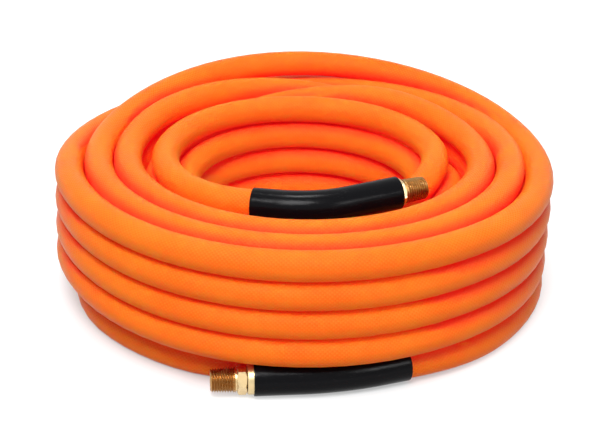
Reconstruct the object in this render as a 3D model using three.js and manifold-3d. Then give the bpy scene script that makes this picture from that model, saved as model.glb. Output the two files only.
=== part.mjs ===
// Coiled air hose: 3/8 in bore reinforced hose wound in five columns, with a male pipe fitting,
// a crimped ferrule and a bend-restrictor sleeve on each end. Millimetres, +Z up.
import * as THREE from "three";
import Module from "manifold-3d";

const wasm = await Module();
wasm.setup();

// ---------------------------------------------------------------- driving dimensions

// Hose wall, from the bore outwards
const hoseDiameter = 16.5;
const linerThickness = 1.4;
const braidThickness = 0.5;
const coverThickness = 1.0;
const layerClearance = 0.3;

// The winding: columns counted from the innermost, heights counted from the floor
const innerColumnRadius = 73.4;
const columnGap = 0.8;
const turnGap = 0.55;
const middleLooseness = 1.1;
const topRingShift = 8.0;
const stepsPerTurn = 24;
const sidesOfHose = 6;
const restingCutShare = 0.1;
const frontTuck = 7.5;
const leftTuckAtFloor = 1.3;
const leftTuckAtTop = 4.0;
const backRise = 10.5;
const backRiseWholeFrom = 0.7;
const floorTurnOut = 11.5;

// Pipe fitting: male 1/4 in taper thread, hexagon and barbed stem in one piece
const threadLength = 13.4;
const threadTipDiameter = 13.0;
const threadTaper = 1 / 16;
const threadChamfer = 0.8;
const neckLength = 0.9;
const neckDiameter = 12.4;
const hexAcrossFlats = 14.3;
const hexThickness = 5.2;
const hexChamfer = 0.7;
const stemWall = 0.95;
const stemSlack = 1.0;
const stemLength = 22.0;
const barbHeight = 0.35;
const barbCount = 5;
const barbSpacing = 3.4;
const barbLength = 2.6;
const firstBarb = 4.0;
const stemChamfer = 0.4;

// Crimped ferrule
const ferruleOverHose = 0.1;
const ferruleWall = 0.6;
const ferruleLength = 24.0;
const ferruleLip = 0.9;
const collarLength = 3.4;
const crimpCount = 3;
const firstCrimp = 6.4;
const crimpDepth = 0.25;
const crimpWidth = 3.0;
const crimpSlope = 0.6;
const crimpSpacing = 6.2;
const ferruleEdge = 0.4;
const fitClearance = 0.3;

// Hose wall squeezed inside the ferrule
const squeezedCover = 0.6;
const squeezedBraid = 0.3;
const hoseSwellLength = 4.0;

// Bend-restrictor sleeve
const sleeveLength = 85.0;
const sleeveWall = 0.75;
const sleeveEdge = 0.4;
const jointDepthInSleeve = 15.0;

// Where the two ends lie. The middle of each thread's tip is set outside the middle of a
// column of the winding, at an angle round from the front towards the right. It is above the
// middle of the highest turns, or, with null there, as low as its sleeve lets it lie. Heading is the
// way that the thread points, in degrees from the right, and bend is that of the sleeve
const innerEnd = {
  name: "inner",
  column: 0,
  tipOutside: 13.5,
  tipRound: 53.7,
  tipAboveTurns: 3.3,
  heading: 24.5,
  climb: 1.5,
  bend: -36,
  sleeveForward: 6.2,
  joinTurn: 0.31,
  leadReach: 0.4,
  wayAlongWinding: 1,
};
const outerEnd = {
  name: "outer",
  column: 4,
  tipOutside: 8.4,
  tipRound: -17.8,
  tipAboveTurns: null,
  heading: 186,
  climb: 0,
  bend: 15,
  sleeveForward: 0,
  joinTurn: 21.83,
  leadReach: 0.38,
  wayAlongWinding: -1,
};
const leadSteps = 8;
const checkedApart = 60;

// Faces round a piece
const sidesOfFitting = 24;
const bendStep = 12.0;

// ---------------------------------------------------------------- worked-out sizes

const hoseRadius = hoseDiameter / 2;
const wallThickness = linerThickness + braidThickness + coverThickness + 2 * layerClearance;
const boreDiameter = hoseDiameter - 2 * wallThickness;
const stemDiameter = boreDiameter - stemSlack;
const fittingBoreDiameter = stemDiameter - 2 * stemWall;
const ferruleDiameter = hoseDiameter + ferruleOverHose;
const columnPitch = hoseDiameter + columnGap;
const topRingRise = hoseDiameter + middleLooseness;
const levelPitch = hoseDiameter + turnGap;
const looseLevelPitch = levelPitch + middleLooseness;
const floorTurnHeight = hoseRadius - restingCutShare * hoseDiameter;
const stemRadius = stemDiameter / 2;
const barbRadius = stemRadius + barbHeight;
const ferruleRadius = ferruleDiameter / 2;
const ferruleBore = ferruleRadius - ferruleWall;
const noseLength = threadLength + neckLength + hexThickness;
const ferruleStart = noseLength + fitClearance;
const ferruleEnd = ferruleStart + ferruleLength;
const wallStart = ferruleStart + ferruleLip + fitClearance;
const bendStart = ferruleEnd + hoseSwellLength;

// ---------------------------------------------------------------- the winding

// Turn is counted clockwise seen from above, and a whole number lies at the front centre.
// Columns run from the innermost out, every second one climbing. firstStep is the turn at
// which the first change of level is half done, stepEvery the turns between two changes.
const columns = [
  { levels: 5, pitch: looseLevelPitch, firstStep: 0.83, stepEvery: 1, stepSpan: 0.24 },
  { levels: 4, pitch: looseLevelPitch, firstStep: 5.66, stepEvery: 1, stepSpan: 0.26 },
  { levels: 5, pitch: looseLevelPitch, firstStep: 9.46, stepEvery: 1, stepSpan: 0.32 },
  { levels: 5, pitch: looseLevelPitch, firstStep: 14.3, stepEvery: 0.77, stepSpan: 0.3 },
  { levels: 5, pitch: levelPitch, firstStep: 18.32, stepEvery: 1, stepSpan: 0.32 },
];
// Crossing from each column to the next: the turns at which the step outwards and the change
// of height are half done, and the turns that each takes
const crossings = [
  { outAt: 4.75, span: 0.26, levelAt: 4.75 },
  { outAt: 8.64, span: 0.3, levelAt: 8.47 },
  { outAt: 13.38, span: 0.3, levelAt: 13.38 },
  { outAt: 17.48, span: 0.36, levelAt: 17.54 },
];
// The floor turn of the fourth column comes out from under the turns above it, and goes back
const floorTurnMoves = [
  { at: 14.02, span: 0.12, radial: floorTurnOut },
  { at: 14.22, span: 0.14, radial: -floorTurnOut },
];
const sleeveLift = 4.0;
const liftStart = 17.76;
const liftSpan = 0.17;
// The first turn lies in the groove outside the turn below it, at the left and the right
const rollBackStart = 0.72;
const rollBackSpan = 0.16;

const moves = [];

function addMove(at, span, radial, vertical) {
  moves.push({ start: at - span / 2, span, radial, vertical });
}

function topOf(column) {
  return floorTurnHeight + (column.levels - 1) * column.pitch;
}

columns.forEach((column, index) => {
  const direction = index % 2 === 1 ? 1 : -1;
  const outermost = index === columns.length - 1;
  const change = column.pitch + (outermost ? sleeveLift : 0);
  for (let step = 0; step < column.levels - 1; step += 1) {
    addMove(column.firstStep + step * column.stepEvery, column.stepSpan, 0, direction * change);
    if (outermost) {
      addMove(liftStart + liftSpan / 2 + step, liftSpan, 0, sleeveLift);
    }
  }
});

crossings.forEach((crossing, index) => {
  const rise = index % 2 === 1 ? topOf(columns[index + 1]) - topOf(columns[index]) : 0;
  addMove(crossing.outAt, crossing.span, columnPitch, 0);
  addMove(crossing.levelAt, crossing.span, 0, rise);
});

floorTurnMoves.forEach((move) => addMove(move.at, move.span, move.radial, 0));

function eased(share) {
  return THREE.MathUtils.smoothstep(share, 0, 1);
}

function windingPoint(turn) {
  const angle = -Math.PI / 2 - turn * 2 * Math.PI;
  let radius = innerColumnRadius;
  let height = topOf(columns[0]);
  for (const move of moves) {
    const share = eased((turn - move.start) / move.span);
    radius += move.radial * share;
    height += move.vertical * share;
  }
  const rolled = 1 - eased((turn - rollBackStart) / rollBackSpan);
  const shift = topRingShift * Math.cos(angle) ** 2 * rolled;
  const depth = 1 - (height - floorTurnHeight) / levelPitch;
  const raised = (height - floorTurnHeight) / (topOf(columns[0]) - floorTurnHeight);
  const outside = eased((radius - innerColumnRadius) / (2 * columnPitch));
  const towardsFront = Math.max(0, -Math.sin(angle)) ** 2;
  const towardsLeft = Math.max(0, -Math.cos(angle)) ** 2;
  const towardsBack = Math.max(0, Math.sin(angle)) ** 2;
  radius += shift - frontTuck * towardsFront * eased(2 * depth);
  const leftTuck = leftTuckAtFloor + (leftTuckAtTop - leftTuckAtFloor) * raised;
  radius -= leftTuck * towardsLeft * (1 - rolled);
  height += backRise * towardsBack * outside * Math.min(1, raised / backRiseWholeFrom);
  height -= (topRingRise - Math.sqrt(topRingRise ** 2 - shift ** 2)) * (rolled > 0 ? 1 : 0);
  return new THREE.Vector3(radius * Math.cos(angle), radius * Math.sin(angle), height);
}

function windingDirection(turn) {
  const small = 1e-3;
  return windingPoint(turn + small).sub(windingPoint(turn - small)).normalize();
}

// ---------------------------------------------------------------- the two ends

// Places along an end are distances back from the tip of its thread
function sleeveStartOf(end) {
  return ferruleStart + collarLength - end.sleeveForward;
}

function wallEndOf(end) {
  return sleeveStartOf(end) + sleeveLength - jointDepthInSleeve;
}

function coilStartOf(end) {
  return wallEndOf(end) + fitClearance;
}

// Middle of the hose and the way towards it: straight through the fitting and the ferrule,
// bent evenly inside the sleeve, then straight again
function endPoint(end, distance) {
  const heading = THREE.MathUtils.degToRad(end.heading);
  const climb = THREE.MathUtils.degToRad(end.climb);
  const bendLength = wallEndOf(end) - bendStart;
  const curvature = THREE.MathUtils.degToRad(end.bend) / bendLength;
  const before = Math.min(distance, bendStart);
  const bent = THREE.MathUtils.clamp(distance - bendStart, 0, bendLength);
  const after = Math.max(0, distance - bendStart - bendLength);
  const turned = heading + curvature * bent;
  const bentX = (Math.sin(turned) - Math.sin(heading)) / curvature;
  const bentY = (Math.cos(heading) - Math.cos(turned)) / curvature;
  const x = before * Math.cos(heading) + bentX + after * Math.cos(turned);
  const y = before * Math.sin(heading) + bentY + after * Math.sin(turned);
  const back = new THREE.Vector3(x, y, distance * Math.tan(climb)).multiplyScalar(-Math.cos(climb));
  const tipRadius = innerColumnRadius + end.column * columnPitch + end.tipOutside;
  const lowest = ferruleDiameter / 2 + fitClearance + sleeveWall;
  const tipHeight = end.tipAboveTurns === null ? lowest : topOf(columns[0]) + end.tipAboveTurns;
  const round = THREE.MathUtils.degToRad(end.tipRound);
  back.add(new THREE.Vector3(tipRadius * Math.sin(round), -tipRadius * Math.cos(round), tipHeight));
  const direction = new THREE.Vector3(-Math.cos(turned), -Math.sin(turned), -Math.tan(climb));
  return { point: back, direction: direction.normalize() };
}

// From the straight part behind the sleeve, in one sweep, to where the winding is met
function leadPoints(end) {
  const start = endPoint(end, coilStartOf(end) + hoseDiameter);
  const finish = windingPoint(end.joinTurn);
  const finishDirection = windingDirection(end.joinTurn).multiplyScalar(end.wayAlongWinding);
  const reach = start.point.distanceTo(finish) * end.leadReach;
  const curve = new THREE.CubicBezierCurve3(
    start.point,
    start.point.clone().addScaledVector(start.direction, reach),
    finish.clone().addScaledVector(finishDirection, -reach),
    finish,
  );
  const points = [];
  for (let step = 0; step <= leadSteps; step += 1) {
    const share = step / leadSteps;
    points.push({ point: curve.getPoint(share), direction: curve.getTangent(share) });
  }
  return points;
}

// ---------------------------------------------------------------- making solids

// One corner of a ring: angle is turned about the direction, from its level side
function cornerAt(place, radius, angle) {
  const side = new THREE.Vector3(-place.direction.y, place.direction.x, 0).normalize();
  const above = new THREE.Vector3().crossVectors(place.direction, side);
  const corner = place.point.clone().addScaledVector(side, radius * Math.cos(angle));
  return corner.addScaledVector(above, radius * Math.sin(angle));
}

function solidFrom(positions, faces) {
  const geometry = new THREE.BufferGeometry();
  geometry.setAttribute("position", new THREE.Float32BufferAttribute(positions, 3));
  geometry.setIndex(faces);
  geometry.computeVertexNormals();
  return geometry;
}

// Skin of a closed loop of ring sections, each joined to the next: sections is a list of
// { place, radius } whose radius is a length or a rule of the angle
function solidOfRings(sections, sides) {
  const positions = [];
  const faces = [];
  for (const section of sections) {
    for (let side = 0; side < sides; side += 1) {
      const angle = (2 * Math.PI * side) / sides;
      const radius = typeof section.radius === "function" ? section.radius(angle) : section.radius;
      positions.push(...cornerAt(section.place, radius, angle).toArray());
    }
  }
  sections.forEach((section, index) => {
    const here = index * sides;
    const next = ((index + 1) % sections.length) * sides;
    for (let side = 0; side < sides; side += 1) {
      const beside = (side + 1) % sides;
      faces.push(here + side, here + beside, next + beside);
      faces.push(here + side, next + beside, next + side);
    }
  });
  return solidFrom(positions, faces);
}

// A hollow piece on an end's centre line: outer and inner are lists of [distance, radius]
function hollowPiece(end, outer, inner) {
  const onLine = ([distance, radius]) => ({ place: endPoint(end, distance), radius });
  return solidOfRings([...outer.map(onLine), ...inner.map(onLine).reverse()], sidesOfFitting);
}

// Distances for a piece that follows the bend, close together where it bends
function distancesAlong(end, from, to) {
  const bendLength = wallEndOf(end) - bendStart;
  const steps = Math.ceil(bendLength / bendStep);
  const distances = [from, to];
  for (let step = 0; step <= steps; step += 1) {
    distances.push(bendStart + bendLength * (step / steps));
  }
  const inside = distances.filter((distance) => distance >= from && distance <= to);
  return [...new Set(inside)].sort((a, b) => a - b);
}

// Solid rod through the given places, closed by a fan of faces at each end
function solidRod(places, radius, sides) {
  const positions = [];
  const faces = [];
  for (const place of places) {
    for (let side = 0; side < sides; side += 1) {
      positions.push(...cornerAt(place, radius, (2 * Math.PI * side) / sides).toArray());
    }
  }
  for (let ring = 0; ring < places.length - 1; ring += 1) {
    for (let side = 0; side < sides; side += 1) {
      const here = ring * sides + side;
      const beside = ring * sides + ((side + 1) % sides);
      faces.push(here, beside, beside + sides);
      faces.push(here, beside + sides, here + sides);
    }
  }
  const last = (places.length - 1) * sides;
  for (let side = 1; side < sides - 1; side += 1) {
    faces.push(0, side + 1, side);
    faces.push(last, last + side, last + side + 1);
  }
  return solidFrom(positions, faces);
}

// Everything below the floor is taken off
function cutAtFloor(geometry) {
  const mesh = new wasm.Mesh({
    numProp: 3,
    vertProperties: new Float32Array(geometry.attributes.position.array),
    triVerts: new Uint32Array(geometry.index.array),
  });
  const whole = new wasm.Manifold(mesh);
  const cut = whole.trimByPlane([0, 0, 1], 0).getMesh();
  return solidFrom(Array.from(cut.vertProperties), Array.from(cut.triVerts));
}

// ---------------------------------------------------------------- the pieces

// Hexagon with its corners turned down at one end, as a radius that depends on the angle
function hexRadius(angle) {
  const sector = Math.PI / 3;
  const fromFlat = (((angle % sector) + sector) % sector) - sector / 2;
  return hexAcrossFlats / 2 / Math.cos(fromFlat);
}

function fittingGeometry(end) {
  const threadEnd = threadLength;
  const hexStart = threadLength + neckLength;
  const tipRadius = threadTipDiameter / 2;
  const threadRootRadius = tipRadius + (threadLength * threadTaper) / 2;
  const outer = [
    [0, tipRadius - threadChamfer],
    [threadChamfer, tipRadius],
    [threadEnd, threadRootRadius],
    [threadEnd, neckDiameter / 2],
    [hexStart, neckDiameter / 2],
    [hexStart, hexAcrossFlats / 2],
    [hexStart + hexChamfer, hexRadius],
    [noseLength - hexChamfer, hexRadius],
    [noseLength, hexAcrossFlats / 2],
    [noseLength, stemRadius],
  ];
  for (let barb = 0; barb < barbCount; barb += 1) {
    const at = noseLength + firstBarb + barb * barbSpacing;
    outer.push([at, stemRadius], [at, barbRadius], [at + barbLength, stemRadius]);
  }
  const stemEnd = noseLength + stemLength;
  outer.push([stemEnd - stemChamfer, stemRadius], [stemEnd, stemRadius - stemChamfer]);
  const boreRadius = fittingBoreDiameter / 2;
  return hollowPiece(end, outer, [[0, boreRadius], [stemEnd, boreRadius]]);
}

function ferruleGeometry(end) {
  const outer = [[ferruleStart, ferruleRadius - ferruleEdge], [ferruleStart + ferruleEdge, ferruleRadius]];
  const lipRadius = stemRadius + fitClearance;
  const inner = [[ferruleStart, lipRadius], [ferruleStart + ferruleLip, lipRadius]];
  inner.push([ferruleStart + ferruleLip, ferruleBore]);
  for (let crimp = 0; crimp < crimpCount; crimp += 1) {
    const from = ferruleStart + firstCrimp + crimp * crimpSpacing;
    const steps = [[0, 0], [crimpSlope, 1], [crimpWidth - crimpSlope, 1], [crimpWidth, 0]];
    for (const [distance, depth] of steps) {
      outer.push([from + distance, ferruleRadius - depth * crimpDepth]);
      inner.push([from + distance, ferruleBore - depth * crimpDepth]);
    }
  }
  outer.push([ferruleEnd, ferruleRadius]);
  inner.push([ferruleEnd, ferruleBore]);
  return hollowPiece(end, outer, inner);
}

// One layer of the hose's wall: squeezed inside the ferrule, full size behind it
function layerGeometry(end, squeezed, full) {
  const bent = distancesAlong(end, bendStart, wallEndOf(end));
  const rings = (which) => [
    [wallStart, squeezed[which]],
    [ferruleEnd, squeezed[which]],
    ...bent.map((distance) => [distance, full[which]]),
  ];
  return hollowPiece(end, rings("outer"), rings("inner"));
}

function sleeveGeometry(end) {
  const boreRadius = ferruleRadius + fitClearance;
  const outerRadius = boreRadius + sleeveWall;
  const start = sleeveStartOf(end);
  const finish = start + sleeveLength;
  const middle = distancesAlong(end, start + sleeveEdge, finish - sleeveEdge);
  const outer = [
    [start, outerRadius - sleeveEdge],
    ...middle.map((distance) => [distance, outerRadius]),
    [finish, outerRadius - sleeveEdge],
  ];
  const inner = distancesAlong(end, start, finish).map((distance) => [distance, boreRadius]);
  return hollowPiece(end, outer, inner);
}

// Layers from the bore outwards, at full size and squeezed between stem and ferrule
const linerFull = { inner: boreDiameter / 2, outer: boreDiameter / 2 + linerThickness };
const braidFull = {
  inner: linerFull.outer + layerClearance,
  outer: linerFull.outer + layerClearance + braidThickness,
};
const coverFull = { inner: braidFull.outer + layerClearance, outer: hoseRadius };
const coverOuterSqueezed = ferruleBore - crimpDepth - layerClearance;
const coverSqueezed = { inner: coverOuterSqueezed - squeezedCover, outer: coverOuterSqueezed };
const braidOuterSqueezed = coverSqueezed.inner - layerClearance;
const braidSqueezed = { inner: braidOuterSqueezed - squeezedBraid, outer: braidOuterSqueezed };
const linerSqueezed = {
  inner: barbRadius + layerClearance,
  outer: braidSqueezed.inner - layerClearance,
};

// Centre line of the hose from the joint in the inner sleeve to the joint in the outer one
function hoseLine() {
  const line = [endPoint(innerEnd, coilStartOf(innerEnd)), ...leadPoints(innerEnd)];
  const firstStep = Math.floor(innerEnd.joinTurn * stepsPerTurn) + 1;
  const lastStep = Math.ceil(outerEnd.joinTurn * stepsPerTurn) - 1;
  for (let step = firstStep; step <= lastStep; step += 1) {
    const turn = step / stepsPerTurn;
    line.push({ point: windingPoint(turn), direction: windingDirection(turn) });
  }
  const outerLead = [endPoint(outerEnd, coilStartOf(outerEnd)), ...leadPoints(outerEnd)].reverse();
  for (const place of outerLead) {
    line.push({ point: place.point, direction: place.direction.negate() });
  }
  return line;
}

// ---------------------------------------------------------------- the hose checked on points

// Length of the centre line, and the least gap between two lengths of hose more than
// apartBy from each other along it
function measureHose(line) {
  const along = [0];
  for (let index = 1; index < line.length; index += 1) {
    along.push(along[index - 1] + line[index].point.distanceTo(line[index - 1].point));
  }
  let least = Infinity;
  for (let first = 0; first < line.length - 1; first += 1) {
    for (let second = first + 2; second < line.length - 1; second += 1) {
      if (along[second] - along[first + 1] > checkedApart) {
        least = Math.min(least, segmentDistance(line, first, second));
      }
    }
  }
  return { length: along[along.length - 1], gap: least - hoseDiameter };
}

function segmentDistance(line, first, second) {
  const a = line[first].point;
  const b = line[second].point;
  const along = line[first + 1].point.clone().sub(a);
  const other = line[second + 1].point.clone().sub(b);
  const between = a.clone().sub(b);
  const lengths = along.dot(along) * other.dot(other) - along.dot(other) ** 2;
  let share = 0;
  if (lengths > 1e-9) {
    share = (along.dot(other) * other.dot(between) - other.dot(other) * along.dot(between)) / lengths;
  }
  share = THREE.MathUtils.clamp(share, 0, 1);
  let otherShare = (along.dot(other) * share + other.dot(between)) / other.dot(other);
  if (otherShare < 0 || otherShare > 1) {
    otherShare = THREE.MathUtils.clamp(otherShare, 0, 1);
    share = THREE.MathUtils.clamp((along.dot(other) * otherShare - along.dot(between)) / along.dot(along), 0, 1);
  }
  const onFirst = a.clone().addScaledVector(along, share);
  return onFirst.distanceTo(b.clone().addScaledVector(other, otherShare));
}

// ---------------------------------------------------------------- the group

const hose = new THREE.Group();
hose.name = "coiled_air_hose";

function addPiece(name, geometry, color, metalness, roughness) {
  const material = new THREE.MeshStandardMaterial({ color, metalness, roughness });
  material.name = `${name}_material`;
  const piece = new THREE.Mesh(geometry, material);
  piece.name = name;
  hose.add(piece);
}

const coverColour = 0xf2701a;
const linerColour = 0xe8dfc8;
const braidColour = 0xf3f1ea;
const brassColour = 0xc9a45a;
const ferruleColour = 0xd9c58c;
const sleeveColour = 0x141516;

const line = hoseLine();
const measured = measureHose(line);
console.log(`hose in the winding ${(measured.length / 1000).toFixed(2)} m`);
console.log(`least gap between two lengths of it ${measured.gap.toFixed(2)} mm`);

addPiece("hose_coil", cutAtFloor(solidRod(line, hoseRadius, sidesOfHose)), coverColour, 0, 0.45);
for (const end of [innerEnd, outerEnd]) {
  addPiece(`${end.name}_hose_liner`, layerGeometry(end, linerSqueezed, linerFull), linerColour, 0, 0.5);
  addPiece(`${end.name}_hose_braid`, layerGeometry(end, braidSqueezed, braidFull), braidColour, 0, 0.8);
  addPiece(`${end.name}_hose_cover`, layerGeometry(end, coverSqueezed, coverFull), coverColour, 0, 0.45);
  addPiece(`${end.name}_fitting`, fittingGeometry(end), brassColour, 1, 0.3);
  addPiece(`${end.name}_ferrule`, ferruleGeometry(end), ferruleColour, 1, 0.35);
  addPiece(`${end.name}_sleeve`, sleeveGeometry(end), sleeveColour, 0, 0.35);
}

// The middle of the whole over the origin, the floor at zero
const box = new THREE.Box3().setFromObject(hose);
const middle = box.getCenter(new THREE.Vector3());
hose.position.set(-middle.x, -middle.y, -box.min.z);
hose.updateMatrixWorld(true);

export default hose;
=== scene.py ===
import math
from collections import namedtuple

import bmesh
import bpy
from mathutils import Matrix, Vector
from mathutils.geometry import intersect_point_line
from mathutils.kdtree import KDTree


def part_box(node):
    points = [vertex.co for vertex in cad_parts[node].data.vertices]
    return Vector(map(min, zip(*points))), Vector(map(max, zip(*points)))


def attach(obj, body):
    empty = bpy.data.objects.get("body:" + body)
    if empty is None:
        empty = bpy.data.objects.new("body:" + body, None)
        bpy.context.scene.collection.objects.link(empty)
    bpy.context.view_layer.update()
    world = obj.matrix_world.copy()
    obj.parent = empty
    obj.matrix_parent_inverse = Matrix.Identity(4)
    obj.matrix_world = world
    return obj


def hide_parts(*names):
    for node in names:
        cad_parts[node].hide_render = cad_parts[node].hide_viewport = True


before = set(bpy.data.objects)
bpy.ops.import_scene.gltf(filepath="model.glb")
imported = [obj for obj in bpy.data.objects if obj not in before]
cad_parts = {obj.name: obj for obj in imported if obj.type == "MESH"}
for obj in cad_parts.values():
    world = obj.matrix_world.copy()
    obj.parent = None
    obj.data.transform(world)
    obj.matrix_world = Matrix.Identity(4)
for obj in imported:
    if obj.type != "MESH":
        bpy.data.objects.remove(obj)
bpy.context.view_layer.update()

# ---------------------------------------------------------------- sizes, in millimetres

# One millimetre in the scene's metres
MM = 0.001

# Hose and winding
HOSE_DIAMETER = 16.5
INNER_COLUMN_RADIUS = 73.4
COLUMN_PITCH = 17.3
TURN_GAP = 0.55
MIDDLE_LOOSENESS = 1.1
TOP_RING_SHIFT = 8.0
TOP_RING_RISE = 17.6
RESTING_CUT_SHARE = 0.1
FRONT_TUCK = 7.5
LEFT_TUCK_AT_FLOOR = 1.3
LEFT_TUCK_AT_TOP = 4.0
BACK_RISE = 10.5
BACK_RISE_WHOLE_FROM = 0.7
FLOOR_TURN_OUT = 11.5
SLEEVE_LIFT = 4.0
LEVEL_PITCH = HOSE_DIAMETER + TURN_GAP
LOOSE_LEVEL_PITCH = LEVEL_PITCH + MIDDLE_LOOSENESS
FLOOR_TURN_HEIGHT = HOSE_DIAMETER / 2 - RESTING_CUT_SHARE * HOSE_DIAMETER

# Places along the winding are counted in turns, clockwise from the front
Column = namedtuple("Column", "levels pitch first_change turns_between span")
COLUMNS = (
    Column(5, LOOSE_LEVEL_PITCH, 0.83, 1.0, 0.24),
    Column(4, LOOSE_LEVEL_PITCH, 5.66, 1.0, 0.26),
    Column(5, LOOSE_LEVEL_PITCH, 9.46, 1.0, 0.32),
    Column(5, LOOSE_LEVEL_PITCH, 14.3, 0.77, 0.3),
    Column(5, LEVEL_PITCH, 18.32, 1.0, 0.32),
)
# From each column to the next: where the step outwards is, its span, and where the rise is
Crossing = namedtuple("Crossing", "outwards_at span upwards_at")
CROSSINGS = (
    Crossing(4.75, 0.26, 4.75),
    Crossing(8.64, 0.3, 8.47),
    Crossing(13.38, 0.3, 13.38),
    Crossing(17.48, 0.36, 17.54),
)
# The floor turn of the fourth column comes out from under the others and goes back:
# where, its span, and how far outwards
FLOOR_TURN_MOVES = ((14.02, 0.12, FLOOR_TURN_OUT), (14.22, 0.14, -FLOOR_TURN_OUT))
# The outermost column is lifted over the outer sleeve
LIFT_START = 17.76
LIFT_SPAN = 0.17
# The top turn rolls back from its neighbour onto its own column
ROLL_BACK_START = 0.72
ROLL_BACK_SPAN = 0.16

# An end: the column it leaves, its tip's distance outside it, degrees round from the front and
# height, its heading, climb and bend in degrees, how far its sleeve is slid to the tip, the turn
# that it joins, its sweep's reach as a share of the distance, and its way along the winding
End = namedtuple("End", "column outside around height heading climb bend slid join reach way")
ENDS = {
    "inner": End(column=0, outside=13.5, around=53.7, height=82.5, heading=24.5, climb=1.5,
                 bend=-36, slid=6.2, join=0.31, reach=0.4, way=1),
    "outer": End(column=4, outside=8.4, around=-17.8, height=9.35, heading=186, climb=0,
                 bend=15, slid=0, join=21.83, reach=0.38, way=-1),
}
BEND_START = 47.8
SLEEVE_START = 23.2
SLEEVE_LENGTH = 85.0
SLEEVE_WALL = 0.75
JOINT_DEPTH = 15.0
FIT_CLEARANCE = 0.3

# Pipe fitting
THREAD_LENGTH = 13.4
THREAD_TIP_DIAMETER = 13.0
THREAD_TAPER = 1 / 16
THREAD_CHAMFER = 0.8
THREAD_PITCH = 25.4 / 18
THREAD_DEPTH = 1.05
THREAD_FLAT = 0.06
NECK_LENGTH = 0.9
NECK_DIAMETER = 12.4
HEX_ACROSS_FLATS = 14.3
HEX_THICKNESS = 5.2
HEX_CHAMFER_SLOPE = 1.6
HEX_CHAMFER_BITE = 0.15
FITTING_BORE = 6.6
BORE_CHAMFER = 0.4
STEM_DIAMETER = 8.5
STEM_LENGTH = 22.0
STEM_CHAMFER = 0.4
BARB_HEIGHT = 0.35
BARB_COUNT = 5
BARB_SPACING = 3.4
BARB_LENGTH = 2.6
BARB_RISE = 0.05
FIRST_BARB = 4.0
HEX_START = THREAD_LENGTH + NECK_LENGTH
NOSE_LENGTH = HEX_START + HEX_THICKNESS

# Crimped ferrule
FERRULE_DIAMETER = 16.6
FERRULE_WALL = 0.6
FERRULE_LENGTH = 24.0
FERRULE_LIP = 0.9
FERRULE_EDGE = 0.4
FERRULE_START = NOSE_LENGTH + FIT_CLEARANCE
FERRULE_END = FERRULE_START + FERRULE_LENGTH
CRIMP_COUNT = 3
FIRST_CRIMP = 6.4
CRIMP_SPACING = 6.2
CRIMP_WIDTH = 3.0
CRIMP_SLOPE = 0.6
CRIMP_DEPTH = 0.25

# Hose wall, each layer squeezed inside the ferrule and full size: inner and outer radius
WALL_LAYERS = {
    "liner": ((4.9, 5.65), (4.75, 6.15)),
    "braid": ((5.95, 6.25), (6.45, 6.95)),
    "cover": ((6.55, 7.15), (7.25, 8.25)),
}

# Faces round each piece, rings of the hose a turn, and points on each sweep to an end
HOSE_RINGS = 72
HOSE_SIDES = 32
SWEEP_STEPS = 16
PATH_STEPS = 24
FITTING_SIDES = 144
FERRULE_SIDES = 72
WALL_SIDES = 60
SLEEVE_SIDES = 96

# Widest rows of faces along the pieces, and the width of a step square to the axis
CHAMFER_ROW = 0.1
THREAD_ROW = 0.11
HEX_ROW = 0.14
FERRULE_ROW = 0.3
SQUEEZED_WALL_ROW = 4.0
SPREADING_WALL_ROW = 0.8
FULL_WALL_ROW = 3.0
SLEEVE_ROW = 1.5
STEP = 0.01

# Rounding of rims
FERRULE_ROUNDING = 0.12
SLEEVE_ROUNDING = 0.32


# ---------------------------------------------------------------- where the hose runs


def top_of(column):
    """Height of the hose's middle in the top turn of a column."""
    return FLOOR_TURN_HEIGHT + (column.levels - 1) * column.pitch


def changes_of_place():
    """Every change of radius and height along the winding: start, span, outwards, upwards."""
    changes = []

    def change(at, span, outwards, upwards):
        changes.append((at - span / 2, span, outwards, upwards))

    for index, column in enumerate(COLUMNS):
        way = 1 if index % 2 else -1
        outermost = index == len(COLUMNS) - 1
        lift = SLEEVE_LIFT if outermost else 0.0
        for step in range(column.levels - 1):
            at = column.first_change + step * column.turns_between
            change(at, column.span, 0.0, way * (column.pitch + lift))
            if outermost:
                change(LIFT_START + LIFT_SPAN / 2 + step, LIFT_SPAN, 0.0, SLEEVE_LIFT)
    for index, crossing in enumerate(CROSSINGS):
        change(crossing.outwards_at, crossing.span, COLUMN_PITCH, 0.0)
        if index % 2:
            rise = top_of(COLUMNS[index + 1]) - top_of(COLUMNS[index])
            change(crossing.upwards_at, crossing.span, 0.0, rise)
    for at, span, outwards in FLOOR_TURN_MOVES:
        change(at, span, outwards, 0.0)
    return changes


CHANGES = changes_of_place()


def eased(share):
    """0 to 1 with a soft start and stop, and no further."""
    share = min(1.0, max(0.0, share))
    return share * share * (3 - 2 * share)


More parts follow.
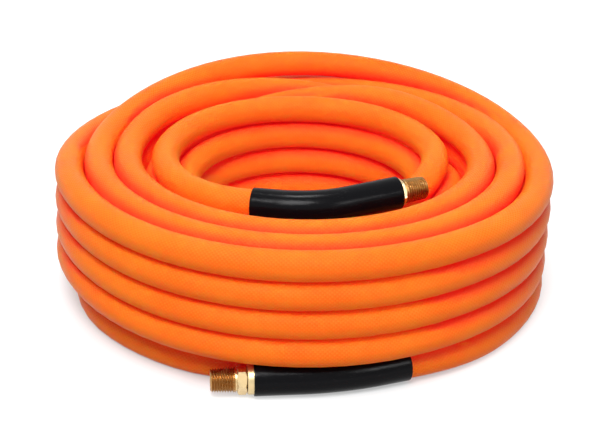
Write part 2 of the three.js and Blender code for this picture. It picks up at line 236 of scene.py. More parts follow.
def winding_point(turn):
    """Middle of the hose, in mm, at a turn counted clockwise from the front."""
    angle = -math.pi / 2 - turn * 2 * math.pi
    radius = INNER_COLUMN_RADIUS
    height = top_of(COLUMNS[0])
    for start, span, outwards, upwards in CHANGES:
        share = eased((turn - start) / span)
        radius += outwards * share
        height += upwards * share
    rolled = 1 - eased((turn - ROLL_BACK_START) / ROLL_BACK_SPAN)
    shift = TOP_RING_SHIFT * math.cos(angle) ** 2 * rolled
    depth = 1 - (height - FLOOR_TURN_HEIGHT) / LEVEL_PITCH
    raised = (height - FLOOR_TURN_HEIGHT) / (top_of(COLUMNS[0]) - FLOOR_TURN_HEIGHT)
    outside = eased((radius - INNER_COLUMN_RADIUS) / (2 * COLUMN_PITCH))
    towards_front = max(0.0, -math.sin(angle)) ** 2
    towards_left = max(0.0, -math.cos(angle)) ** 2
    towards_back = max(0.0, math.sin(angle)) ** 2
    radius += shift - FRONT_TUCK * towards_front * eased(2 * depth)
    left_tuck = LEFT_TUCK_AT_FLOOR + (LEFT_TUCK_AT_TOP - LEFT_TUCK_AT_FLOOR) * raised
    radius -= left_tuck * towards_left * (1 - rolled)
    height += BACK_RISE * towards_back * outside * min(1.0, raised / BACK_RISE_WHOLE_FROM)
    if rolled > 0:
        height -= TOP_RING_RISE - math.sqrt(TOP_RING_RISE**2 - shift**2)
    return Vector((radius * math.cos(angle), radius * math.sin(angle), height))


def winding_direction(turn):
    """The way along the winding, outwards turn by turn."""
    return (winding_point(turn + 1e-3) - winding_point(turn - 1e-3)).normalized()


def wall_end_of(name):
    """Distance back from an end's tip at which its three wall layers stop, inside the sleeve."""
    return SLEEVE_START - ENDS[name].slid + SLEEVE_LENGTH - JOINT_DEPTH


def end_point(name, distance):
    """Middle of an end, and the way towards the hose, at a distance back from its tip."""
    end = ENDS[name]
    heading, climb = math.radians(end.heading), math.radians(end.climb)
    bend_length = wall_end_of(name) - BEND_START
    curvature = math.radians(end.bend) / bend_length
    before = min(distance, BEND_START)
    bent = min(max(distance - BEND_START, 0.0), bend_length)
    after = max(0.0, distance - BEND_START - bend_length)
    here = heading + curvature * bent
    x = before * math.cos(heading) + after * math.cos(here)
    y = before * math.sin(heading) + after * math.sin(here)
    x += (math.sin(here) - math.sin(heading)) / curvature
    y += (math.cos(heading) - math.cos(here)) / curvature
    back = Vector((x, y, distance * math.tan(climb))) * -math.cos(climb)
    tip_radius = INNER_COLUMN_RADIUS + end.column * COLUMN_PITCH + end.outside
    around = math.radians(end.around)
    tip = Vector((tip_radius * math.sin(around), -tip_radius * math.cos(around), end.height))
    way = Vector((-math.cos(here), -math.sin(here), -math.tan(climb)))
    return tip + back, way.normalized()


def sweep_points(name):
    """From behind the sleeve, in one sweep, to where the winding is met."""
    end = ENDS[name]
    start, start_way = end_point(name, wall_end_of(name) + FIT_CLEARANCE + HOSE_DIAMETER)
    finish, finish_way = winding_point(end.join), winding_direction(end.join) * end.way
    reach = end.reach * (finish - start).length
    a, b, c, d = start, start + start_way * reach, finish - finish_way * reach, finish
    points = []
    for step in range(SWEEP_STEPS + 1):
        t = step / SWEEP_STEPS
        u = 1 - t
        points.append(a * u**3 + b * 3 * u * u * t + c * 3 * u * t * t + d * t**3)
    return points


def hose_route(steps_per_turn):
    """Middle of the hose, in mm, from inside the inner sleeve to inside the outer one."""
    route = [end_point("inner", wall_end_of("inner") + FIT_CLEARANCE)[0]]
    route += sweep_points("inner")
    start = math.floor(ENDS["inner"].join * steps_per_turn) + 1
    finish = math.ceil(ENDS["outer"].join * steps_per_turn)
    route += [winding_point(step / steps_per_turn) for step in range(start, finish)]
    route += reversed(sweep_points("outer"))
    route.append(end_point("outer", wall_end_of("outer") + FIT_CLEARANCE)[0])
    return route


# The part is centred on its own box, so the winding's axis stands off the origin by this
coil_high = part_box("hose_coil")[1]
OUTERMOST = (INNER_COLUMN_RADIUS + (len(COLUMNS) - 1) * COLUMN_PITCH + HOSE_DIAMETER / 2) * MM
PLACE = Vector((coil_high.x - OUTERMOST, coil_high.y - OUTERMOST, 0.0))


def in_place(point):
    """A point of the winding in mm, as a point of the scene in metres."""
    return point * MM + PLACE


# ---------------------------------------------------------------- shader nodes and groups


def feed(tree, value, socket):
    """Links a socket to another socket, or sets it to a constant."""
    if isinstance(value, bpy.types.NodeSocket):
        tree.links.new(value, socket)
    else:
        socket.default_value = value


def add(tree, kind, inputs=None, **settings):
    """A node with its settings, and its inputs by name."""
    made = tree.nodes.new(kind)
    for setting, value in settings.items():
        setattr(made, setting, value)
    for name, value in (inputs or {}).items():
        feed(tree, value, made.inputs[name])
    return made


def calc(tree, operation, *values):
    """The result of a Math node on sockets or numbers."""
    made = add(tree, "ShaderNodeMath", operation=operation)
    for socket, value in zip(made.inputs, values):
        feed(tree, value, socket)
    return made.outputs[0]


def stretch(tree, value, low, high, to_low=0.0, to_high=1.0):
    """Carries a value from one range to another with a soft start and stop, and no further."""
    inputs = {"Value": value, "From Min": low, "From Max": high, "To Min": to_low,
              "To Max": to_high}
    made = add(tree, "ShaderNodeMapRange", inputs, interpolation_type="SMOOTHSTEP")
    return made.outputs["Result"]


def split(tree, vector):
    """The X, Y and Z of a vector."""
    return add(tree, "ShaderNodeSeparateXYZ", {"Vector": vector}).outputs


def new_group(name, inputs, outputs):
    """A shader node group with named sockets (a vector where the value is None), and the ends
    of its inside."""
    group = bpy.data.node_groups.new(name, "ShaderNodeTree")
    sockets = group.interface
    for title, value in inputs.items():
        if value is None:
            sockets.new_socket(title, in_out="INPUT", socket_type="NodeSocketVector")
        else:
            made = sockets.new_socket(title, in_out="INPUT", socket_type="NodeSocketFloat")
            made.default_value = value
    for title in outputs:
        sockets.new_socket(title, in_out="OUTPUT", socket_type="NodeSocketFloat")
    given = group.nodes.new("NodeGroupInput").outputs
    return group, given, group.nodes.new("NodeGroupOutput").inputs


def make_mottle_group():
    """Slow uneven patches, and a fine grain inside them."""
    group, given, out = new_group(
        "mottle", {"Place": None, "Patch Scale": 40.0, "Grain Scale": 900.0},
        ("Patches", "Grain"))
    for scale, result, detail in (("Patch Scale", "Patches", 3), ("Grain Scale", "Grain", 2)):
        noise = add(group, "ShaderNodeTexNoise", {
            "Vector": given["Place"], "Scale": given[scale], "Detail": detail})
        feed(group, stretch(group, noise.outputs["Fac"], 0.32, 0.68), out[result])
    return group


def make_yarn_group():
    """Two sets of yarns wound round a hose, crossing each other, under or above its surface."""
    group, given, out = new_group(
        "yarn_lay", {"Along and Round": None, "Strands": 24.0, "Pitch": 0.0024},
        ("Height", "Crossings"))
    place = split(group, given["Along and Round"])
    along = calc(group, "DIVIDE", place["X"], given["Pitch"])
    around = calc(group, "MULTIPLY", place["Y"], given["Strands"])
    waves = []
    for operation in ("ADD", "SUBTRACT"):
        turns = calc(group, "MULTIPLY", calc(group, operation, along, around), 2 * math.pi)
        waves.append(calc(group, "MULTIPLY_ADD", calc(group, "SINE", turns), 0.5, 0.5))
    feed(group, calc(group, "MAXIMUM", *waves), out["Height"])
    feed(group, calc(group, "MULTIPLY", *waves), out["Crossings"])
    return group


def make_handling_group():
    """Fine scuffs and specks left by handling."""
    group, given, out = new_group(
        "handling", {"Place": None, "Amount": 0.3}, ("Scuffs", "Specks"))
    drawn = add(group, "ShaderNodeMapping", {"Vector": given["Place"], "Scale": (1.0, 1.0, 5.0)})
    scuffs = add(group, "ShaderNodeTexNoise", {
        "Vector": drawn.outputs["Vector"], "Scale": 220, "Detail": 6, "Roughness": 0.7})
    kept = stretch(group, scuffs.outputs["Fac"], 0.55, 0.75)
    feed(group, calc(group, "MULTIPLY", kept, given["Amount"]), out["Scuffs"])
    specks = add(group, "ShaderNodeTexVoronoi", {"Vector": given["Place"], "Scale": 420})
    dots = stretch(group, specks.outputs["Distance"], 0.06, 0.12, 1.0, 0.0)
    feed(group, calc(group, "MULTIPLY", dots, given["Amount"]), out["Specks"])
    return group


def make_tool_mark_group():
    """Rings left by the tool on a turned surface, running round it."""
    group, given, out = new_group(
        "tool_marks", {"Along and Round": None, "Feed": 0.00018}, ("Rings",))
    along = split(group, given["Along and Round"])["X"]
    place = calc(group, "DIVIDE", along, given["Feed"])
    rings = add(group, "ShaderNodeTexNoise", {"W": place, "Scale": 1.0, "Detail": 2},
                noise_dimensions="1D")
    feed(group, stretch(group, rings.outputs["Fac"], 0.25, 0.75), out["Rings"])
    return group


MOTTLE = make_mottle_group()
YARN_LAY = make_yarn_group()
HANDLING = make_handling_group()
TOOL_MARKS = make_tool_mark_group()


def place_group(tree, group, **values):
    """Puts a shader group in a material and sets its inputs, by name with _ for a space."""
    inputs = {name.replace("_", " "): value for name, value in values.items()}
    return add(tree, "ShaderNodeGroup", inputs, node_tree=group).outputs


def new_material(name, **constants):
    """A material, its tree, its shader's sockets with constants set, and its coordinates."""
    material = bpy.data.materials.new(name)
    material.use_nodes = True
    tree = material.node_tree
    shader = tree.nodes["Principled BSDF"].inputs
    for socket, value in constants.items():
        shader[socket.replace("_", " ")].default_value = value
    places = add(tree, "ShaderNodeTexCoord").outputs
    return material, tree, shader, places["Object"], places["UV"]


def blend_colours(tree, share, first, second):
    """The first colour where the share is 0 and the second where it is 1."""
    made = add(tree, "ShaderNodeMix", data_type="RGBA")
    feed(tree, share, made.inputs["Factor"])
    for name, value in (("A", first), ("B", second)):
        feed(tree, (*value, 1.0) if isinstance(value, tuple) else value, made.inputs[name])
    return made.outputs["Result"]


def raise_surface(tree, shader, height, depth):
    """Feeds a height of 0 to 1 and a real depth in metres to the shader's normal."""
    bump = add(tree, "ShaderNodeBump", {"Height": height, "Distance": depth})
    feed(tree, bump.outputs["Normal"], shader["Normal"])


# ---------------------------------------------------------------- finishes

ORANGE = (0.97, 0.205, 0.010)
DEEP_ORANGE = (0.96, 0.172, 0.007)
BRIGHT_ORANGE = (0.98, 0.34, 0.04)
# Painted shade: the deep red laid on the cover where two lengths of hose lie close
PAINTED_SHADE_RED = (0.995, 0.05, 0.02)
# Painted glow: red light that the hose's cover gives out though it is no lamp
PAINTED_RED_GLOW = (1.0, 0.01, 0.03, 1.0)
SLEEVE_BLACK = (0.003, 0.003, 0.004)
SCUFF_GREY = (0.035, 0.036, 0.038)
BRASS = (0.74, 0.57, 0.32)
DULL_BRASS = (0.52, 0.33, 0.12)
THREAD_BRASS = (0.45, 0.26, 0.10)
PALE_BRASS = (0.66, 0.52, 0.28)
NATURAL_PVC = (0.74, 0.69, 0.56)
CLOUDY_PVC = (0.62, 0.56, 0.43)
YARN_WHITE = (0.82, 0.81, 0.76)
YARN_SHADE = (0.45, 0.43, 0.38)

# The yarns of the hose's wall: strands of each lay round it, and metres along it to a crossing
STRANDS = 24.0
CROSSING_PITCH = 0.0024

# Share of the brighter or duller colour where a mark is strongest
YARN_SHOWS = 0.4
SCUFF_SHOWS = 0.35
TARNISH_SHOWS = 0.3

# Roughness of each finish where its patches are 0 and 1
COVER_ROUGHNESS = (0.28, 0.36)
COVER_ROUGHNESS_BETWEEN_TURNS = 0.8
SLEEVE_ROUGHNESS = (0.14, 0.22)
LINER_ROUGHNESS = (0.4, 0.52)
YARN_ROUGHNESS = (0.7, 0.85)
TURNED_ROUGHNESS = 0.24
DRAWN_ROUGHNESS = 0.3
TARNISH_ROUGHNESS = 0.12
SCUFFED_BRASS_ROUGHNESS = 0.3

# Depth of each surface's relief, in metres, and the fine grain's share of it
COVER_RELIEF = 0.00018
SLEEVE_RELIEF = 0.00008
LINER_RELIEF = 0.00002
YARN_RELIEF = 0.0003
TOOL_MARK_RELIEF = 0.00001
COVER_GRAIN = 0.15
SLEEVE_GRAIN = 0.25

# Metres the tool goes along the brass for each ring it leaves, turned and drawn
TURNING_FEED = 0.00018
DRAWING_FEED = 0.00035


def make_cover_finish():
    """Orange PVC with its yarns just showing through, painted red shade where two lengths lie
    close, and a faint painted red glow all over.
    """
    # The emission is a painted red glow over the whole cover, lifting red in its shaded parts
    material, tree, shader, spot, uv = new_material(
        "orange_pvc", IOR=1.3, Specular_IOR_Level=0.1, Subsurface_Weight=1.0,
        Subsurface_Radius=(1.0, 0.1, 0.04), Subsurface_Scale=0.0018,
        Emission_Color=PAINTED_RED_GLOW, Emission_Strength=0.1)
    uneven = place_group(tree, MOTTLE, Place=spot, Patch_Scale=28.0, Grain_Scale=1500.0)
    yarns = place_group(tree, YARN_LAY, Along_and_Round=uv, Strands=STRANDS, Pitch=CROSSING_PITCH)
    marks = place_group(tree, HANDLING, Place=spot, Amount=0.25)
    # Painted shade: the cover turns deep red by its nearness to another length, where shade falls
    # between turns
    painted_shade_between = add(tree, "ShaderNodeAttribute", attribute_name="nearness").outputs["Fac"]
    colour = blend_colours(tree, uneven["Patches"], DEEP_ORANGE, ORANGE)
    over_yarn = calc(tree, "MULTIPLY", yarns["Crossings"], YARN_SHOWS)
    colour = blend_colours(tree, over_yarn, colour, BRIGHT_ORANGE)
    feed(tree, blend_colours(tree, painted_shade_between, colour, PAINTED_SHADE_RED), shader["Base Color"])
    rough = stretch(tree, uneven["Patches"], 0, 1, *COVER_ROUGHNESS)
    rough = calc(tree, "ADD", rough, marks["Scuffs"])
    dusty = calc(tree, "MULTIPLY", painted_shade_between, COVER_ROUGHNESS_BETWEEN_TURNS)
    feed(tree, calc(tree, "MAXIMUM", rough, dusty), shader["Roughness"])
    relief = calc(tree, "MULTIPLY_ADD", uneven["Grain"], COVER_GRAIN, yarns["Height"])
    raise_surface(tree, shader, relief, COVER_RELIEF)
    return material


def make_sleeve_finish():
    """Glossy black vinyl, a little dusty and scuffed."""
    material, tree, shader, spot, _ = new_material("black_vinyl", Specular_IOR_Level=0.08)
    uneven = place_group(tree, MOTTLE, Place=spot, Patch_Scale=60.0, Grain_Scale=1100.0)
    marks = place_group(tree, HANDLING, Place=spot, Amount=0.3)
    worn = calc(tree, "MAXIMUM", marks["Scuffs"], marks["Specks"])
    worn = calc(tree, "MULTIPLY", worn, SCUFF_SHOWS)
    feed(tree, blend_colours(tree, worn, SLEEVE_BLACK, SCUFF_GREY), shader["Base Color"])
    rough = stretch(tree, uneven["Patches"], 0, 1, *SLEEVE_ROUGHNESS)
    feed(tree, calc(tree, "ADD", rough, marks["Scuffs"]), shader["Roughness"])
    relief = calc(tree, "MULTIPLY_ADD", uneven["Grain"], SLEEVE_GRAIN, uneven["Patches"])
    raise_surface(tree, shader, relief, SLEEVE_RELIEF)
    return material


def make_brass_finish(name, bright, dull, roughness, tool_feed, thread=None):
    """Brass with the tool's rings round it, tarnish in patches and, if given, a darker thread."""
    material, tree, shader, spot, uv = new_material(name, Metallic=1.0)
    uneven = place_group(tree, MOTTLE, Place=spot, Patch_Scale=160.0, Grain_Scale=2600.0)
    rings = place_group(tree, TOOL_MARKS, Along_and_Round=uv, Feed=tool_feed)
    marks = place_group(tree, HANDLING, Place=spot, Amount=0.4)
    tarnish = calc(tree, "MAXIMUM", uneven["Patches"], marks["Specks"])
    colour = blend_colours(tree, calc(tree, "MULTIPLY", tarnish, TARNISH_SHOWS), bright, dull)
    if thread:
        end_of_thread = (THREAD_LENGTH * MM, (THREAD_LENGTH + 0.3) * MM)
        on_thread = stretch(tree, split(tree, uv)["X"], *end_of_thread, 1.0, 0.0)
        colour = blend_colours(tree, on_thread, colour, thread)
    feed(tree, colour, shader["Base Color"])
    rough = stretch(tree, uneven["Patches"], 0, 1, roughness, roughness + TARNISH_ROUGHNESS)
    scuffed = calc(tree, "MULTIPLY", marks["Scuffs"], SCUFFED_BRASS_ROUGHNESS)
    feed(tree, calc(tree, "ADD", rough, scuffed), shader["Roughness"])
    raise_surface(tree, shader, rings["Rings"], TOOL_MARK_RELIEF)
    return material


def make_liner_finish():
    """Natural PVC of the inner tube, smooth and slightly cloudy."""
    material, tree, shader, spot, _ = new_material("natural_pvc")
    uneven = place_group(tree, MOTTLE, Place=spot, Patch_Scale=90.0, Grain_Scale=1400.0)
    cloudy = blend_colours(tree, uneven["Patches"], NATURAL_PVC, CLOUDY_PVC)
    feed(tree, cloudy, shader["Base Color"])
    feed(tree, stretch(tree, uneven["Grain"], 0, 1, *LINER_ROUGHNESS), shader["Roughness"])
    raise_surface(tree, shader, uneven["Grain"], LINER_RELIEF)
    return material


def make_yarn_finish():
    """White polyester yarns crossing each other round the inner tube."""
    material, tree, shader, spot, uv = new_material("polyester_yarn", Sheen_Weight=0.3)
    yarns = place_group(tree, YARN_LAY, Along_and_Round=uv, Strands=STRANDS, Pitch=CROSSING_PITCH)
    uneven = place_group(tree, MOTTLE, Place=spot, Patch_Scale=150.0, Grain_Scale=3000.0)
    shaded = blend_colours(tree, yarns["Height"], YARN_SHADE, YARN_WHITE)
    feed(tree, shaded, shader["Base Color"])
    feed(tree, stretch(tree, uneven["Grain"], 0, 1, *YARN_ROUGHNESS), shader["Roughness"])
    raise_surface(tree, shader, yarns["Height"], YARN_RELIEF)
    return material


FINISHES = {
    "hose_cover": make_cover_finish(),
    "hose_liner": make_liner_finish(),
    "hose_braid": make_yarn_finish(),
    "brass": make_brass_finish(
        "machined_brass", BRASS, DULL_BRASS, TURNED_ROUGHNESS, TURNING_FEED, THREAD_BRASS),
    "ferrule_brass": make_brass_finish(
        "drawn_brass", PALE_BRASS, BRASS, DRAWN_ROUGHNESS, DRAWING_FEED),
    "sleeve_plastic": make_sleeve_finish(),
}


# ---------------------------------------------------------------- camera, light and floor

FOCAL_LENGTH = 82.2
SENSOR_WIDTH = 36
CAMERA_DISTANCE = 0.8481
CAMERA_ELEVATION = math.radians(26.475)
CAMERA_ROLL = math.radians(1.19)
CAMERA_TARGET = PLACE + Vector((0, 0, 0.0319))

# Each lamp: place, diameter, watts. All of them point at the coil's middle
LAMPS = {
    "overhead_softbox": ((-0.05, 0.25, 1.3), 0.3, 4.5),
    "key_softbox": ((-0.2, -0.84, 1.27), 0.7, 21),
    "side_softbox": ((0.85, -0.95, 0.8), 0.34, 3),
}
COIL_MIDDLE = Vector((0, 0, 0.04))
ROOM_LIGHT = 0.14

FLOOR_REACH = 6
FLOOR_DROP = 0.0002
FLOOR_GREY = (0.42, 0.42, 0.42, 1)
# How the floor whitens away from its middle: from and to in metres, and the strength at both
WHITE_ROUND_COIL = (0.12, 0.16, 0.1, 0.75)
WHITE_FAR_OUT = (0.3, 1.5, 0.0, 0.22)


def make_camera():
    lens = bpy.data.cameras.new("photo_camera")
    lens.sensor_width = SENSOR_WIDTH
    lens.lens = FOCAL_LENGTH
    camera = bpy.data.objects.new("photo_camera", lens)
    back = Vector((0, -math.cos(CAMERA_ELEVATION), math.sin(CAMERA_ELEVATION)))
    turn = Matrix.Rotation(math.pi / 2 - CAMERA_ELEVATION, 4, "X")
    turn = turn @ Matrix.Rotation(CAMERA_ROLL, 4, "Z")
    camera.matrix_world = Matrix.Translation(CAMERA_TARGET + back * CAMERA_DISTANCE) @ turn
    bpy.context.scene.collection.objects.link(camera)
    bpy.context.scene.camera = camera


def make_lamp(name, place, diameter, power):
    data = bpy.data.lights.new(name, "AREA")
    data.shape = "DISK"
    data.size = diameter
    data.energy = power
    lamp = bpy.data.objects.new(name, data)
    turn = (Vector(place) - COIL_MIDDLE).to_track_quat("Z", "Y").to_matrix().to_4x4()
    lamp.matrix_world = Matrix.Translation(place) @ turn
    bpy.context.scene.collection.objects.link(lamp)


def seen_white(tree):
    """1 for the rays that show the studio as white, 0 for those that light the hose."""
    rays = add(tree, "ShaderNodeLightPath").outputs
    seen = calc(tree, "MAXIMUM", rays["Is Camera Ray"], rays["Is Glossy Ray"])
    return calc(tree, "MAXIMUM", seen, rays["Is Transmission Ray"])


def make_studio():
    """A white room that gives little light itself, and the lamps."""
    world = bpy.data.worlds.new("studio_white")
    world.use_nodes = True
    tree = world.node_tree
    background = tree.nodes["Background"].inputs
    background["Color"].default_value = (1, 1, 1, 1)
    feed(tree, stretch(tree, seen_white(tree), 0.0, 1.0, ROOM_LIGHT, 1.0), background["Strength"])
    bpy.context.scene.world = world
    bpy.context.scene.view_settings.view_transform = "Standard"
    for name, lamp in LAMPS.items():
        make_lamp(name, *lamp)


def make_floor():
    """Pale floor that shows white and keeps the shadow under the hose."""
    bm = bmesh.new()
    bmesh.ops.create_grid(bm, x_segments=1, y_segments=1, size=FLOOR_REACH)
    mesh = bpy.data.meshes.new("studio_floor")
    bm.to_mesh(mesh)
    bm.free()
    floor = bpy.data.objects.new("studio_floor", mesh)
    floor.location.z = -FLOOR_DROP
    bpy.context.scene.collection.objects.link(floor)
    material, tree, shader, spot, _ = new_material(
        "white_paper", Base_Color=FLOOR_GREY, Roughness=0.9, Emission_Color=(1, 1, 1, 1))
    from_middle = add(tree, "ShaderNodeVectorMath", operation="LENGTH")
    feed(tree, spot, from_middle.inputs[0])
    around = stretch(tree, from_middle.outputs["Value"], *WHITE_ROUND_COIL)
    far = stretch(tree, from_middle.outputs["Value"], *WHITE_FAR_OUT)
    glow = calc(tree, "MULTIPLY", seen_white(tree), calc(tree, "ADD", around, far))
    feed(tree, glow, shader["Emission Strength"])
    mesh.materials.append(material)


# ---------------------------------------------------------------- making pieces


def finished(name, bm, node, slot, smooth_angle=40):
    """Turns a bmesh into a piece that stands for one node of the part."""
    mesh = bpy.data.meshes.new(name)
    bm.to_mesh(mesh)
    bm.free()
    piece = bpy.data.objects.new(name, mesh)
    bpy.context.scene.collection.objects.link(piece)
    mesh.materials.append(FINISHES[slot])
    mesh.shade_smooth()
    mesh.set_sharp_from_angle(angle=math.radians(smooth_angle))
    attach(piece, "root")
    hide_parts(node)
    return piece


def across(way):
    """The level direction across a way, and the one above it."""
    side = Vector((-way.y, way.x, 0)).normalized()
    return side, way.cross(side)


# A point of the hose counts as beside another length within this many metres of it, and the cover
# there gets painted red shade. Rings of the hose less than the second number apart belong to the
# point's own length
NEAR = 0.009
OWN_LENGTH = 0.4 * HOSE_RINGS
SEARCH_RADIUS = (HOSE_DIAMETER * MM + NEAR) * 1.1


def nearness(point, ring, route, middles):
    """From 0 to 1, how close a point of the hose lies to another length of it, which sets the
    painted shade there.
    """
    least = NEAR
    for _, index, _ in middles.find_range(point, SEARCH_RADIUS):
        if abs(index - ring) <= OWN_LENGTH:
            continue
        for first, last in ((index - 1, index), (index, index + 1)):
            if 0 <= first and last < len(route):
                foot, share = intersect_point_line(point, route[first], route[last])
                if 0 <= share <= 1:
                    least = min(least, (point - foot).length - HOSE_DIAMETER * MM / 2)
    return 1 - eased(least / NEAR)


def tube(route, diameter, sides):
    """A closed hose along a route in metres, its UV the distance along it and the share round."""
    bm = bmesh.new()
    uv = bm.loops.layers.uv.new("along_and_round")
    last = len(route) - 1
    bmesh.ops.create_grid(bm, x_segments=last, y_segments=sides, size=0.5, calc_uvs=True)
    along = [0.0]
    for before, here in zip(route, route[1:]):
        along.append(along[-1] + (here - before).length)
    for face in bm.faces:
        for loop in face.loops:
            share, around = loop[uv].uv
            loop[uv].uv = (along[round(share * last)], around)
    rings = []
    for vert in bm.verts:
        ring = round((vert.co.x + 0.5) * last)
        rings.append(ring)
        angle = (vert.co.y + 0.5) * 2 * math.pi
        way = (route[min(ring + 1, last)] - route[max(ring - 1, 0)]).normalized()
        side, above = across(way)
        offset = side * math.cos(angle) + above * math.sin(angle)
        vert.co = route[ring] + offset * diameter / 2
        vert.co.z = max(vert.co.z, 0.0)
    middles = KDTree(len(route))
    for index, middle in enumerate(route):
        middles.insert(middle, index)
    middles.balance()
    # Painted shade between turns: each point's nearness to another length, which the cover's
    # colour reads
    painted_shade_between = bm.verts.layers.float.new("nearness")
    for vert, ring in zip(bm.verts, rings):
        vert[painted_shade_between] = nearness(vert.co, ring, route, middles)
    bmesh.ops.remove_doubles(bm, verts=bm.verts, dist=1e-6)
    bmesh.ops.holes_fill(bm, edges=bm.edges, sides=0)
    bmesh.ops.recalc_face_normals(bm, faces=bm.faces)
    return bm


def turned(outer, inner, sides):
    """A hollow piece turned about the X axis, in mm: the outside of its section from the tip
    back, then the inside from the back to the tip, as (distance, radius)."""
    bm = bmesh.new()
    corners = [bm.verts.new((distance, radius, 0)) for distance, radius in outer + inner]
    edges = [bm.edges.new(pair) for pair in zip(corners, corners[1:] + corners[:1])]
    bmesh.ops.spin(bm, geom=corners + edges, cent=(0, 0, 0), axis=(1, 0, 0),
                   angle=2 * math.pi, steps=sides, use_merge=True)
    bmesh.ops.remove_doubles(bm, verts=bm.verts, dist=1e-4)
    bmesh.ops.recalc_face_normals(bm, faces=bm.faces)
    return bm


def soften_edges(bm, width, from_angle=50):
    """Rounds every edge sharper than the angle, in degrees."""
    sharp = [edge for edge in bm.edges if edge.calc_face_angle(0) > math.radians(from_angle)]
    bmesh.ops.bevel(bm, geom=sharp, offset=width, affect="EDGES", segments=3, profile=0.5,
                    material=-1)


def lay_uv(bm):
    """UV of a turned piece: distance along it in metres, and the share of a turn round it."""
    uv = bm.loops.layers.uv.new("along_and_round")
    for face in bm.faces:
        middle = face.calc_center_median()
        centre = math.atan2(middle.z, middle.y)
        for loop in face.loops:
            corner = loop.vert.co
            apart = math.atan2(corner.z, corner.y) - centre
            apart = (apart + math.pi) % (2 * math.pi) - math.pi
            loop[uv].uv = (corner.x * MM, (centre + apart) / (2 * math.pi))


def carry_onto(bm, name):
    """Carries a turned piece onto an end's middle line, and from mm into metres."""
    lay_uv(bm)
    for vert in bm.verts:
        distance, sideways, upwards = vert.co
        middle, way = end_point(name, distance)
        side, above = across(way)
        vert.co = in_place(middle + side * sideways + above * upwards)


def rows(start, finish, widest):
    """Distances from start to finish, evenly spaced and no further apart than the widest."""
    steps = max(1, math.ceil((finish - start) / widest))
    return [start + (finish - start) * step / steps for step in range(steps + 1)]


def hexagon_radius(angle):
    """Radius of the hexagon's flats at an angle round it."""
    sector = math.pi / 3
    return HEX_ACROSS_FLATS / 2 / math.cos(angle % sector - sector / 2)


def thread_radius(distance, angle):
    """Radius of the right-hand taper thread: its crest, less the depth of the V cut there."""
    crest = THREAD_TIP_DIAMETER / 2 + distance * THREAD_TAPER / 2
    place = (distance / THREAD_PITCH - angle / (2 * math.pi)) % 1.0
    cut = 1 - abs(2 * place - 1)
    cut = min(max((cut - THREAD_FLAT) / (1 - 2 * THREAD_FLAT), 0.0), 1.0)
    run_out = min(1.0, (THREAD_LENGTH - distance) / THREAD_PITCH)
    return crest - THREAD_DEPTH * cut * max(0.0, run_out)


def cut_thread_and_hexagon(bm):
    """Cuts the thread's helix and the hexagon's flats and chamfers into a turned fitting."""
    past_barbs = STEM_DIAMETER / 2 + BARB_HEIGHT + CHAMFER_ROW
    for vert in bm.verts:
        distance, y, z = vert.co
        radius, angle = math.hypot(y, z), math.atan2(z, y)
        if radius < past_barbs:
            continue
        if distance < THREAD_LENGTH + STEP / 10:
            chamfer = THREAD_TIP_DIAMETER / 2 - THREAD_CHAMFER + distance
            radius = min(chamfer, thread_radius(distance, angle))
        elif distance > HEX_START + STEP / 10:
            from_face = min(distance - HEX_START, NOSE_LENGTH - distance)
            turned_down = HEX_ACROSS_FLATS / 2 - HEX_CHAMFER_BITE + from_face * HEX_CHAMFER_SLOPE
            radius = min(hexagon_radius(angle), turned_down)
        vert.co = (distance, radius * math.cos(angle), radius * math.sin(angle))


def make_fitting(name):
    """Male pipe fitting: taper thread, neck, hexagon and barbed stem, with a bore."""
    tip, stem, bore = THREAD_TIP_DIAMETER / 2, STEM_DIAMETER / 2, FITTING_BORE / 2
    blank = tip + THREAD_LENGTH * THREAD_TAPER / 2
    stem_end = NOSE_LENGTH + STEM_LENGTH
    outer = [(distance, tip - THREAD_CHAMFER + distance)
             for distance in rows(0, THREAD_CHAMFER, CHAMFER_ROW)]
    outer += [(distance, tip) for distance in rows(THREAD_CHAMFER, THREAD_LENGTH, THREAD_ROW)[1:]]
    outer += [(THREAD_LENGTH + STEP, NECK_DIAMETER / 2), (HEX_START, NECK_DIAMETER / 2)]
    outer += [(distance, blank) for distance in rows(HEX_START + STEP, NOSE_LENGTH, HEX_ROW)]
    outer += [(NOSE_LENGTH + STEP, stem)]
    for barb in range(BARB_COUNT):
        start = NOSE_LENGTH + FIRST_BARB + barb * BARB_SPACING
        outer += [(start, stem), (start + BARB_RISE, stem + BARB_HEIGHT)]
        outer += [(start + BARB_LENGTH, stem)]
    outer += [(stem_end - STEM_CHAMFER, stem), (stem_end, stem - STEM_CHAMFER)]
    inner = [(stem_end, bore), (BORE_CHAMFER, bore), (0, bore + BORE_CHAMFER)]
    bm = turned(outer, inner, FITTING_SIDES)
    cut_thread_and_hexagon(bm)
    carry_onto(bm, name)
    return finished(f"{name}_pipe_fitting", bm, f"{name}_fitting", "brass", smooth_angle=28)


def crimp_depth(distance):
    """Depth of the crimps, rounded into the plain wall on both sides."""
    depth = 0.0
    for crimp in range(CRIMP_COUNT):
        middle = FERRULE_START + FIRST_CRIMP + crimp * CRIMP_SPACING + CRIMP_WIDTH / 2
        depth += eased((CRIMP_WIDTH / 2 - abs(distance - middle)) / CRIMP_SLOPE)
    return depth * CRIMP_DEPTH


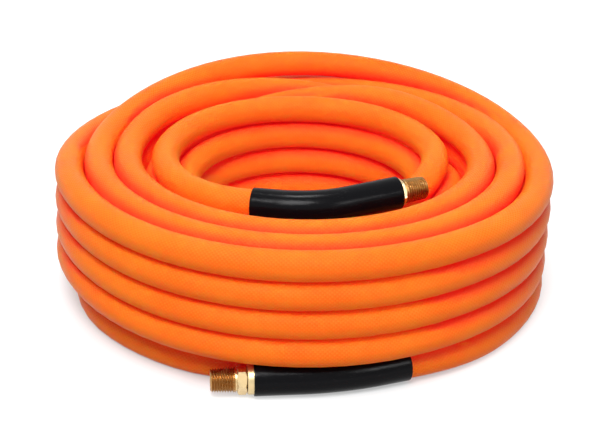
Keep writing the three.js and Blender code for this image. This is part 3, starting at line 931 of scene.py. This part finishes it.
def make_ferrule(name):
    """Crimped ferrule: a thin lipped cup with three pressed bands and a plain collar."""
    start, radius = FERRULE_START, FERRULE_DIAMETER / 2
    bore, lip = radius - FERRULE_WALL, STEM_DIAMETER / 2 + FIT_CLEARANCE
    wall = rows(start + FERRULE_LIP, FERRULE_END, FERRULE_ROW)
    outer = [(start, lip), (start, radius - FERRULE_EDGE), (start + FERRULE_EDGE, radius)]
    outer += [(distance, radius - crimp_depth(distance)) for distance in wall]
    inner = [(distance, bore - crimp_depth(distance)) for distance in reversed(wall)]
    inner += [(start + FERRULE_LIP, lip)]
    bm = turned(outer, inner, FERRULE_SIDES)
    soften_edges(bm, FERRULE_ROUNDING)
    carry_onto(bm, name)
    return finished(f"{name}_crimp_ferrule", bm, f"{name}_ferrule", "ferrule_brass")


def make_wall_layer(name, layer):
    """One layer of the hose's wall, squeezed inside the ferrule and full size behind it."""
    line = rows(FERRULE_START + FERRULE_LIP + FIT_CLEARANCE, FERRULE_END, SQUEEZED_WALL_ROW)
    line += rows(FERRULE_END, BEND_START, SPREADING_WALL_ROW)[1:]
    line += rows(BEND_START, wall_end_of(name), FULL_WALL_ROW)[1:]

    def radius(distance, squeezed, full):
        share = eased((distance - FERRULE_END) / (BEND_START - FERRULE_END))
        return squeezed + (full - squeezed) * share

    (bore, outside), (full_bore, full_outside) = WALL_LAYERS[layer]
    outer = [(distance, radius(distance, outside, full_outside)) for distance in line]
    inner = [(distance, radius(distance, bore, full_bore)) for distance in reversed(line)]
    bm = turned(outer, inner, WALL_SIDES)
    carry_onto(bm, name)
    return finished(f"{name}_wall_{layer}", bm, f"{name}_hose_{layer}", f"hose_{layer}")


def make_sleeve(name):
    """Bend-restrictor sleeve: a smooth thick-walled tube with rounded rims."""
    bore = FERRULE_DIAMETER / 2 + FIT_CLEARANCE
    start = SLEEVE_START - ENDS[name].slid
    line = rows(start, start + SLEEVE_LENGTH, SLEEVE_ROW)
    outer = [(distance, bore + SLEEVE_WALL) for distance in line]
    inner = [(distance, bore) for distance in reversed(line)]
    bm = turned(outer, inner, SLEEVE_SIDES)
    soften_edges(bm, SLEEVE_ROUNDING)
    carry_onto(bm, name)
    return finished(f"{name}_grip_sleeve", bm, f"{name}_sleeve", "sleeve_plastic",
                    smooth_angle=60)


def make_hose():
    """The whole winding, as one hose from sleeve to sleeve."""
    route = [in_place(point) for point in hose_route(HOSE_RINGS)]
    bm = tube(route, HOSE_DIAMETER * MM, HOSE_SIDES)
    return finished("hose_winding", bm, "hose_coil", "hose_cover", smooth_angle=60)


# ---------------------------------------------------------------- the object

make_camera()
hose = make_hose()
on_the_ends = []
for end in ENDS:
    on_the_ends += [make_fitting(end), make_ferrule(end), make_sleeve(end)]
    on_the_ends += [make_wall_layer(end, layer) for layer in WALL_LAYERS]

centre_line = [in_place(point) for point in hose_route(PATH_STEPS)]

make_studio()
make_floor()
